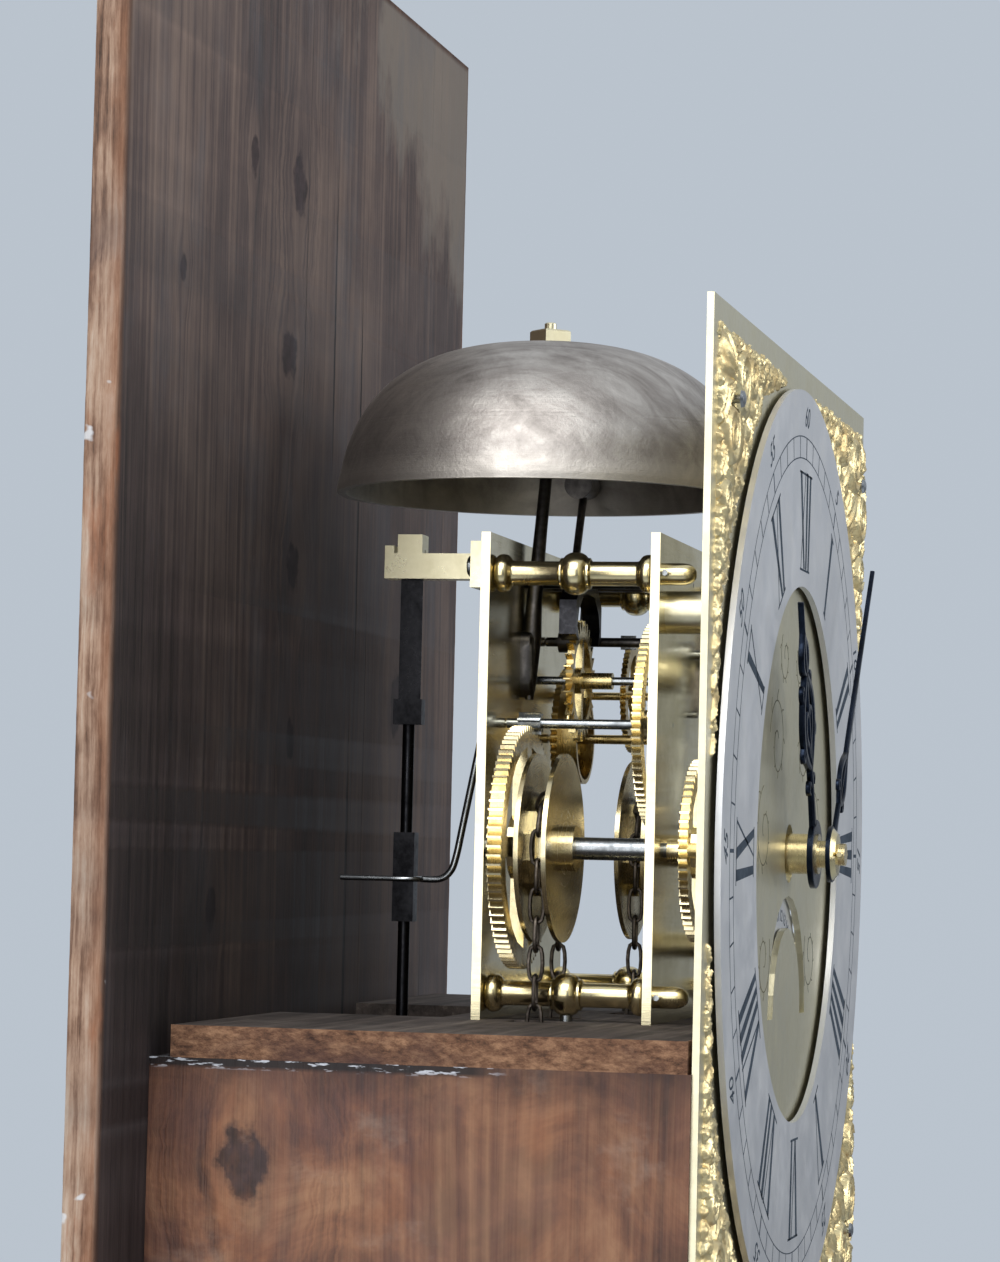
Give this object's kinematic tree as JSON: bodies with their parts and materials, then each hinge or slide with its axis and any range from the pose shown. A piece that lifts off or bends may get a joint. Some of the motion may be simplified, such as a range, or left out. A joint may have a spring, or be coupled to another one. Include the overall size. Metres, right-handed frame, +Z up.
{
  "type": "longcase clock",
  "caption": "Tall wooden case, shown without its hood, holding a two-train chain-driven movement with a square dial, a bell, a long pendulum and two weights.",
  "frame": {"origin": "centre of the bounding box at floor level", "axes": "+Z up, the dial faces -Y, +X to the right seen from the front"},
  "size_m": [0.394, 0.217, 1.9],
  "materials": {
    "old_pine": "aged, unpolished",
    "oak": "waxed",
    "elm": "aged, unpolished",
    "brass_fittings": "worn",
    "plate_brass": "polished",
    "wheel_brass": "polished",
    "bob_brass": "polished",
    "dial_brass": "matted",
    "spandrel_brass": "cast",
    "silvered_ring": "silvered",
    "bell_metal": "dull",
    "steel": "bright, worn",
    "black_steel": "dark",
    "blued_steel": "blued",
    "chain_iron": "dark",
    "lead": "dull"
  },
  "bodies": {
    "case": {"backboard": "old_pine", "trunk_sides": "oak", "trunk_frame": "oak", "seatboard": "elm", "throat_moulding": "oak", "plinth_boards": "oak", "plinth_mouldings": "oak", "fixed_hinge_leaves": "brass_fittings", "front_plate": "plate_brass", "back_plate": "plate_brass", "pillars": "plate_brass", "taper_pins": "steel", "backcock": "plate_brass", "studs_and_screws": "steel", "bell_stand": "steel", "bell": "bell_metal", "dial_plate": "dial_brass", "chapter_ring": "silvered_ring", "spandrels": "spandrel_brass", "chain_links": "chain_iron", "going_chain_loaded": "chain_iron", "going_chain_tail": "chain_iron", "strike_chain_loaded": "chain_iron", "strike_chain_tail": "chain_iron"},
    "door": {"trunk_door": "oak", "door_hinge_leaves": "brass_fittings"},
    "catch": {"door_catch": "brass_fittings"},
    "minute_work": {"cannon_wheel": "wheel_brass", "minute_hand": "blued_steel", "hand_collet": "wheel_brass"},
    "hour_work": {"hour_wheel": "wheel_brass", "hour_hand": "blued_steel"},
    "going_great": {"going_great_wheel": "wheel_brass", "going_great_arbor": "steel", "motion_drive_wheel": "wheel_brass"},
    "going_chain_drum": {"going_chain_wheel": "wheel_brass"},
    "second": {"second_wheel": "wheel_brass", "second_arbor": "steel"},
    "escape": {"escape_wheel": "wheel_brass", "escape_arbor": "steel"},
    "pallet_work": {"pallets": "black_steel", "crutch": "steel"},
    "pendulum": {"pendulum_rod": "steel"},
    "bob_body": {"bob": "bob_brass"},
    "nut_body": {"rating_nut": "bob_brass"},
    "date_body": {"date_disc": "silvered_ring"},
    "strike_great": {"strike_great_wheel": "wheel_brass", "strike_great_arbor": "steel"},
    "strike_chain_drum": {"strike_chain_wheel": "wheel_brass"},
    "hoop": {"hoop_wheel": "wheel_brass"},
    "warning": {"warning_wheel": "wheel_brass"},
    "fly_body": {"fly": "steel"},
    "count": {"count_wheel": "wheel_brass"},
    "hammer_body": {"hammer": "steel"},
    "detent_body": {"detent": "steel"},
    "lifter": {"lifting_piece": "steel"},
    "going_weight_body": {"going_weight": "lead"},
    "going_ring_body": {"going_ring": "lead"},
    "strike_weight_body": {"strike_weight": "lead"},
    "strike_ring_body": {"strike_ring": "lead"}
  },
  "joints": [
    {"name": "minute_hand_turn", "type": "hinge", "parent": "case", "child": "minute_work", "pos_m": [0, -0.0465, 1.612], "axis": [0, 1, 0], "continuous": true},
    {"name": "hour_hand_turn", "type": "hinge", "parent": "case", "child": "hour_work", "pos_m": [0, -0.0465, 1.612], "axis": [0, 1, 0], "continuous": true},
    {"name": "going_great_turn", "type": "hinge", "parent": "case", "child": "going_great", "pos_m": [-0.04, -0.0065, 1.612], "axis": [0, 1, 0], "continuous": true},
    {"name": "going_chain_drum_turn", "type": "hinge", "parent": "going_great", "child": "going_chain_drum", "pos_m": [-0.04, -0.0065, 1.612], "axis": [0, 1, 0], "range_deg": [-2158, 2158]},
    {"name": "second_turn", "type": "hinge", "parent": "case", "child": "second", "pos_m": [-0.0303, -0.0065, 1.6499], "axis": [0, 1, 0], "continuous": true},
    {"name": "escape_turn", "type": "hinge", "parent": "case", "child": "escape", "pos_m": [0, -0.0065, 1.6645], "axis": [0, 1, 0], "continuous": true},
    {"name": "pendulum_swing", "type": "hinge", "parent": "case", "child": "pendulum", "pos_m": [0, 0.0655, 1.696], "axis": [0, 1, 0], "range_deg": [-2, 2]},
    {"name": "pallets_rock", "type": "hinge", "parent": "case", "child": "pallet_work", "pos_m": [0, 0.0235, 1.6947], "axis": [0, 1, 0], "range_deg": [-2, 2]},
    {"name": "bob_slide", "type": "slide", "parent": "pendulum", "child": "bob_body", "axis": [0, 0, 1], "range_m": [-0.008, 0.008]},
    {"name": "rating_nut_turn", "type": "hinge", "parent": "bob_body", "child": "nut_body", "pos_m": [0, 0.0655, 0.645], "axis": [0, 0, 1], "range_deg": [-3600, 3600]},
    {"name": "date_disc_turn", "type": "hinge", "parent": "case", "child": "date_body", "pos_m": [0, -0.053, 1.562], "axis": [0, 1, 0], "continuous": true},
    {"name": "hoop_turn", "type": "hinge", "parent": "case", "child": "hoop", "pos_m": [0.0325, -0.0065, 1.6473], "axis": [0, 1, 0], "continuous": true},
    {"name": "strike_great_turn", "type": "hinge", "parent": "case", "child": "strike_great", "pos_m": [0.04, -0.0065, 1.612], "axis": [0, 1, 0], "continuous": true},
    {"name": "strike_chain_drum_turn", "type": "hinge", "parent": "strike_great", "child": "strike_chain_drum", "pos_m": [0.04, -0.0065, 1.612], "axis": [0, 1, 0], "range_deg": [-2158, 2158]},
    {"name": "warning_turn", "type": "hinge", "parent": "case", "child": "warning", "pos_m": [0.052, -0.0065, 1.662], "axis": [0, 1, 0], "continuous": true},
    {"name": "fly_turn", "type": "hinge", "parent": "case", "child": "fly_body", "pos_m": [0.042, -0.0065, 1.679], "axis": [0, 1, 0], "continuous": true},
    {"name": "count_turn", "type": "hinge", "parent": "case", "child": "count", "pos_m": [0.033, 0.0335, 1.6362], "axis": [0, 1, 0], "continuous": true},
    {"name": "hammer_lift", "type": "hinge", "parent": "case", "child": "hammer_body", "pos_m": [0.024, -0.0065, 1.678], "axis": [0, -1, 0], "range_deg": [0, 10], "stiffness_Nm_per_rad": 0.15, "springref_deg": -22.92},
    {"name": "detent_lift", "type": "hinge", "parent": "case", "child": "detent_body", "pos_m": [0.038, -0.0065, 1.6965], "axis": [0, -1, 0], "range_deg": [0, 4]},
    {"name": "lifting_piece_lift", "type": "hinge", "parent": "case", "child": "lifter", "pos_m": [0.018, -0.0305, 1.674], "axis": [0, -1, 0], "range_deg": [0, 9]},
    {"name": "going_weight_drop", "type": "slide", "parent": "case", "child": "going_weight_body", "axis": [0, 0, -1], "range_m": [-0.62, 0.62], "deforming": ["going_chain_loaded"]},
    {"name": "going_ring_rise", "type": "slide", "parent": "case", "child": "going_ring_body", "axis": [0, 0, 1], "range_m": [-0.62, 0.62], "deforming": ["going_chain_tail"]},
    {"name": "strike_weight_drop", "type": "slide", "parent": "case", "child": "strike_weight_body", "axis": [0, 0, -1], "range_m": [-0.62, 0.62], "deforming": ["strike_chain_loaded"]},
    {"name": "strike_ring_rise", "type": "slide", "parent": "case", "child": "strike_ring_body", "axis": [0, 0, 1], "range_m": [-0.62, 0.62], "deforming": ["strike_chain_tail"]},
    {"name": "trunk_door_swing", "type": "hinge", "parent": "case", "child": "door", "pos_m": [-0.0915, -0.0755, 0.97], "axis": [0, 0, -1], "range_deg": [0, 110]},
    {"name": "door_catch_turn", "type": "hinge", "parent": "door", "child": "catch", "pos_m": [0.08, -0.0665, 0.97], "axis": [0, 1, 0], "range_deg": [0, 90]}
  ],
  "couplings": [
    {"joint": "hour_hand_turn", "follows": "minute_hand_turn", "ratio": 0.083333},
    {"joint": "going_great_turn", "follows": "minute_hand_turn", "ratio": -0.5},
    {"joint": "second_turn", "follows": "minute_hand_turn", "ratio": 6},
    {"joint": "escape_turn", "follows": "minute_hand_turn", "ratio": -60},
    {"joint": "pallets_rock", "follows": "pendulum_swing", "ratio": 1},
    {"joint": "rating_nut_turn", "follows": "bob_slide", "rad_per_m": 7854},
    {"joint": "strike_great_turn", "follows": "hoop_turn", "ratio": -0.076923},
    {"joint": "warning_turn", "follows": "hoop_turn", "ratio": -10},
    {"joint": "fly_turn", "follows": "hoop_turn", "ratio": 90},
    {"joint": "count_turn", "follows": "hoop_turn", "ratio": 0.012821},
    {"joint": "detent_lift", "follows": "lifting_piece_lift", "ratio": 0.434},
    {"joint": "going_ring_rise", "follows": "going_weight_drop", "ratio": 1},
    {"joint": "strike_ring_rise", "follows": "strike_weight_drop", "ratio": 1},
    {"joint": "going_chain_drum_turn", "follows": "going_weight_drop", "rad_per_m": -60.602},
    {"joint": "strike_chain_drum_turn", "follows": "strike_weight_drop", "rad_per_m": 60.602}
  ]
}
